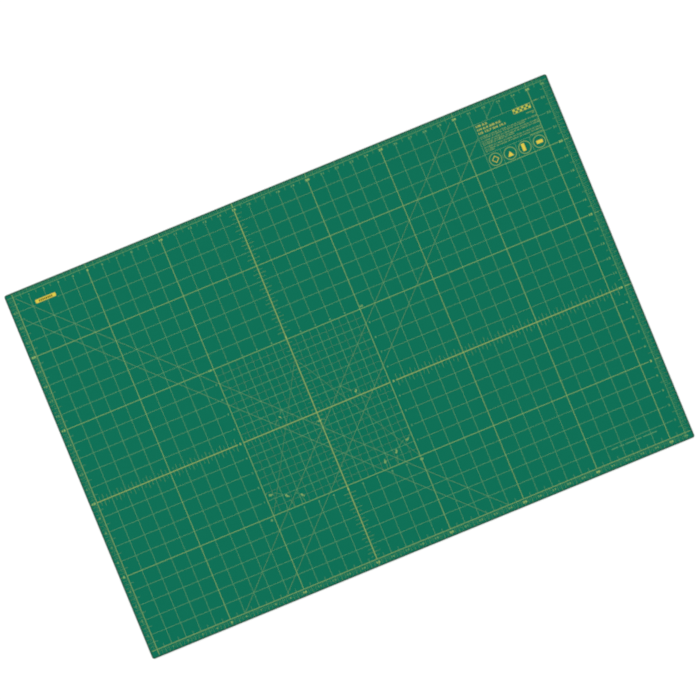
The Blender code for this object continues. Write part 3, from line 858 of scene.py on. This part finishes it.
shift = BAR_PITCH / 2
scale_bar = [block_row(BAR_LEFT, BAR_RIGHT, BAR_MIDDLE, BAR_TOP, BAR_PITCH, BAR_SHARE),
             block_row(BAR_LEFT + shift, BAR_RIGHT + shift, BAR_BOTTOM, BAR_MIDDLE, BAR_PITCH, BAR_SHARE)]
for y in (BAR_BOTTOM, BAR_TOP):
    scale_bar.append(stroke(at(BAR_LEFT, y, NUMBER_LEVEL), at(BAR_RIGHT, y, NUMBER_LEVEL), BAR_RULE))
for x in (BAR_LEFT, BAR_RIGHT):
    scale_bar.append(stroke(at(x, BAR_BOTTOM, NUMBER_LEVEL), at(x, BAR_TOP, NUMBER_LEVEL), BAR_RULE))
scale_ink = screen_ink("vinyl_ink_scale_bar", "#bdbc48")
finish_piece(join(scale_bar, "field_scale_bar"), scale_ink)

field_ink = screen_ink("vinyl_ink_field", "#809e55")
marks = [block_row(*mark) for mark in SHORT_MARKS]
finish_piece(join(marks, "field_short_marks"), field_ink)

# %% [markdown]
# ## The conversion table
#
# The rest of the field holds a plain table: eighths of an inch in millimetres in three bold rows, and
# below them every inch of the mat in millimetres. Each row is one text. It is stretched between the
# left side of the table and a place on the right, because a printer fits a row of small type to its
# width. The digits of the fine rows are under 2 mm high, so their curves take fewer steps than those
# of the large numbers.

# %% The conversion table
MILLIMETRES_PER_INCH = 25.4
TABLE_LEFT = 31.12
TABLE_RIGHT = 34.97


def put_row(words, y, right, look):
    """A row of numbers from the left side of the table to a place counted in squares, stretched to fit."""
    piece = put_number(words, at((TABLE_LEFT + right) / 2, y, NUMBER_LEVEL), look)
    width = 2 * max(vertex.co.x for vertex in piece.data.vertices)
    piece.scale.x = (right - TABLE_LEFT) * INCH / width
    print(f"row at {y}: stretched by {piece.scale.x:.2f}")
    return piece


HEADING = style(0.0030, 0.00016, spacing=0.95)
HEADING_ROWS = ((22.84, 31.88, "1/8 3.2"), (22.605, 32.70, "1/4 6.4 3/8 9.5"),
                (22.375, 32.94, "1/2 12.7 3/4 19.1"))
heading_ink = screen_ink("vinyl_ink_heading", "#b0b254")
heading = [put_row(words, y, right, HEADING) for y, right, words in HEADING_ROWS]
finish_piece(join(heading, "table_of_eighths"), heading_ink)

FINE_ROW = style(0.0020, 0.00008, curve_steps=1)
TABLE_ROWS = ((22.115, TABLE_RIGHT, 6), (22.00, 34.12, 4), (21.835, TABLE_RIGHT, 6), (21.70, TABLE_RIGHT, 5),
              (21.59, 33.22, 3), (21.42, TABLE_RIGHT, 6), (21.27, TABLE_RIGHT, 5), (21.155, 31.70, 1))
entries = [f"{inches} = {inches * MILLIMETRES_PER_INCH:.2f}" for inches in range(1, COLUMNS + 1)]
rows = []
for y, right, count in TABLE_ROWS:
    rows.append(put_row("  ".join(entries[:count]), y, right, FINE_ROW))
    del entries[:count]
table_ink = screen_ink("vinyl_ink_table", "#8aa460")
finish_piece(join(rows, "table_of_inches"), table_ink)

# %% [markdown]
# ## Rings with quilters' shapes
#
# Under the table stand four rings with the shapes that quilters cut: a diamond, a triangle and two
# oblongs. A ring is a filled circle whose middle is inset and deleted. With four corners the same
# steps make a diamond, and with three corners and no inset a filled triangle. Both are given by the
# place of their middle, their radius, the width of their line and how many sides they have.

# %% Four rings with quilters' shapes
RING_ROW = 20.5
RING_PLACES = (31.51, 32.51, 33.51, 34.50)
RING_RADIUS = 0.41
RING_WIDTH = 0.0010
RING_SIDES = 40
DIAMOND = (31.51, RING_ROW, 0.24, 0.0009, 4)
TRIANGLE = (32.51, 20.42, 0.22, 0, 3)
OBLONGS = ((33.33, 20.29, 33.54, 20.78), (34.30, 20.38, 34.72, 20.59))
OBLONG_CORNER = 0.0008


def ring(x, y, radius, width, sides):
    """A ring of ink, its radius counted in squares and its width in metres; a width of 0 fills it."""
    deselect_all()
    bpy.ops.mesh.primitive_circle_add(vertices=sides, radius=radius * INCH, fill_type="NGON",
                                      location=at(x, y, MARK_LEVEL))
    piece = bpy.context.object
    if width:
        bpy.ops.object.mode_set(mode="EDIT")
        bpy.ops.mesh.select_all(action="SELECT")
        bpy.ops.mesh.inset(thickness=width)
        bpy.ops.mesh.delete(type="FACE")
        bpy.ops.object.mode_set(mode="OBJECT")
    bpy.ops.object.transform_apply(location=True, rotation=True, scale=True)
    thicken(piece)
    return piece


ring_ink = screen_ink("vinyl_ink_rings", "#8caa60")
rings = [ring(x, RING_ROW, RING_RADIUS, RING_WIDTH, RING_SIDES) for x in RING_PLACES]
finish_piece(join(rings, "gauge_rings"), ring_ink)
shapes = [ring(*DIAMOND), ring(*TRIANGLE)] + [rounded_patch(*sides, OBLONG_CORNER) for sides in OBLONGS]
finish_piece(join(shapes, "gauge_shapes"), plate_ink)

# %% [markdown]
# ## The dashes at the bottom right
#
# A row of very fine dashes lies over the bottom border near the right corner, in five runs of unlike
# length. A dash is too short to be seen by itself in this view, so that a run looks like a soft line.

# %% Fine dashes
DASH_RUNS = ((31.33, 31.77), (31.88, 32.18), (32.27, 32.92), (33.00, 33.37), (33.48, 34.42))
DASH_BOTTOM = 0.738
DASH_TOP = 0.785
DASH_PITCH = 0.07
DASH_SHARE = 0.7
dashes = [block_row(left, right, DASH_BOTTOM, DASH_TOP, DASH_PITCH, DASH_SHARE) for left, right in DASH_RUNS]
dash_ink = screen_ink("vinyl_ink_dashes", "#72a670")
finish_piece(join(dashes, "corner_dashes"), dash_ink)

# %% [markdown]
# ## Floor
#
# The mat lies on a plain pale floor, as on a light table: matte paper, lit from above and from below,
# so that the mat hardly throws a shadow. The sheet is wide enough to fill any view, and lies just
# under the mat so that the two don't share a plane. Paper is made of fibres, which the eye sees as a
# very faint cloudiness.

# %% A pale floor
FLOOR_SIZE = 30.0
FLOOR_DROP = 0.0001
FROM_BELOW = 0.55
PAPER_WHITE = "#b4b4b3"
PAPER_PALE = "#b9b9b8"
PAPER_ROUGHNESS = 0.9
PAPER_SPECULAR = 0.1
FIBRE_SIZE = 0.02


def lit_paper(name):
    """Matte white paper with a faint cloud of fibres and light from below."""
    made, tree, shader = new_material(name, PAPER_ROUGHNESS, PAPER_SPECULAR)
    place = add_node(tree, "ShaderNodeTexCoord").outputs["Object"]
    fibres = add_node(tree, "ShaderNodeTexNoise", inputs={
        "Vector": place, "Scale": 1 / FIBRE_SIZE, "Detail": 4.0, "Roughness": NOISE_ROUGHNESS})
    cloudy = add_node(tree, "ShaderNodeMix", COLOUR_MIX, {
        AMOUNT: fibres.outputs["Fac"], FIRST_COLOUR: colour(PAPER_WHITE), SECOND_COLOUR: colour(PAPER_PALE)})
    tree.links.new(cloudy.outputs[BLEND], shader.inputs["Base Color"])
    shader.inputs["Emission Color"].default_value = (1.0, 1.0, 1.0, 1.0)
    shader.inputs["Emission Strength"].default_value = FROM_BELOW
    return made


deselect_all()
bpy.ops.mesh.primitive_plane_add(size=FLOOR_SIZE, location=(0, 0, -FLOOR_DROP))
floor = bpy.context.object
floor.name = "pale_floor"
bpy.ops.object.transform_apply(location=True, rotation=True, scale=True)
floor.data.materials.append(lit_paper("lit_paper"))
print("floor laid:", floor.name)

# %% [markdown]
# ## Light
#
# A flat printed sheet is lit evenly, so that no part of the grid is brighter than another. Most of the
# light is a white surround. A large softbox on one side and a weaker one across from it add just
# enough direction to draw the edge of the mat. They stand well off to the sides, where a camera right
# above doesn't see their reflection.

# %% A white surround and two softboxes
SURROUND = 0.80
SOFTBOX_SIZE = 3.0
KEY_PLACE = (-3.2, 3.6, 3.4)
KEY_POWER = 130
FILL_PLACE = (3.6, -3.2, 3.4)
FILL_POWER = 80

world = bpy.data.worlds.new("studio")
world.use_nodes = True
world.node_tree.nodes["Background"].inputs["Color"].default_value = (1.0, 1.0, 1.0, 1.0)
world.node_tree.nodes["Background"].inputs["Strength"].default_value = SURROUND
bpy.context.scene.world = world


def softbox(name, place, power):
    """A square softbox at a place, facing the middle of the mat; its power is in watts."""
    deselect_all()
    bpy.ops.object.light_add(type="AREA", location=place)
    light = bpy.context.object
    light.name = name
    light.data.shape = "SQUARE"
    light.data.size = SOFTBOX_SIZE
    light.data.energy = power
    light.rotation_euler = (-Vector(place)).to_track_quat("-Z", "Y").to_euler()
    print(f"{name}: {power} W, {SOFTBOX_SIZE} m wide")


softbox("key_softbox", KEY_PLACE, KEY_POWER)
softbox("fill_softbox", FILL_PLACE, FILL_POWER)

# %% [markdown]
# ## Camera
#
# The photograph looks straight down from far away, with the mat turned about 22 degrees, so no square
# looks larger than another. A 200 mm lens from over six metres does the same. Its distance follows from
# how wide the picture is on the floor. The standard view transform keeps the green and the white as
# they are, where the default one would grey them. A printed line is a third of a pixel wide here, so
# each pixel gathers light from a little further round than usual, or the lines would look dotted.

# %% Camera straight above
PICTURE_WIDTH = 1.1222
LENS = 200.0
SENSOR = 36.0
TURN = math.radians(-22.335)
AIM = Vector((0.0110, 0.0242, NUMBER_LEVEL))
FAR_CLIP = 60.0
PIXEL_FILTER = 2.0

deselect_all()
above = Vector((0, 0, PICTURE_WIDTH * LENS / SENSOR))
bpy.ops.object.camera_add(location=AIM + above, rotation=(0, 0, TURN))
camera = bpy.context.object
camera.name = "camera"
camera.data.lens = LENS
camera.data.sensor_width = SENSOR
camera.data.clip_end = FAR_CLIP
bpy.context.scene.camera = camera
bpy.context.scene.view_settings.view_transform = "Standard"
bpy.context.scene.cycles.filter_width = PIXEL_FILTER
print("camera height in metres:", round(camera.location.z, 3))
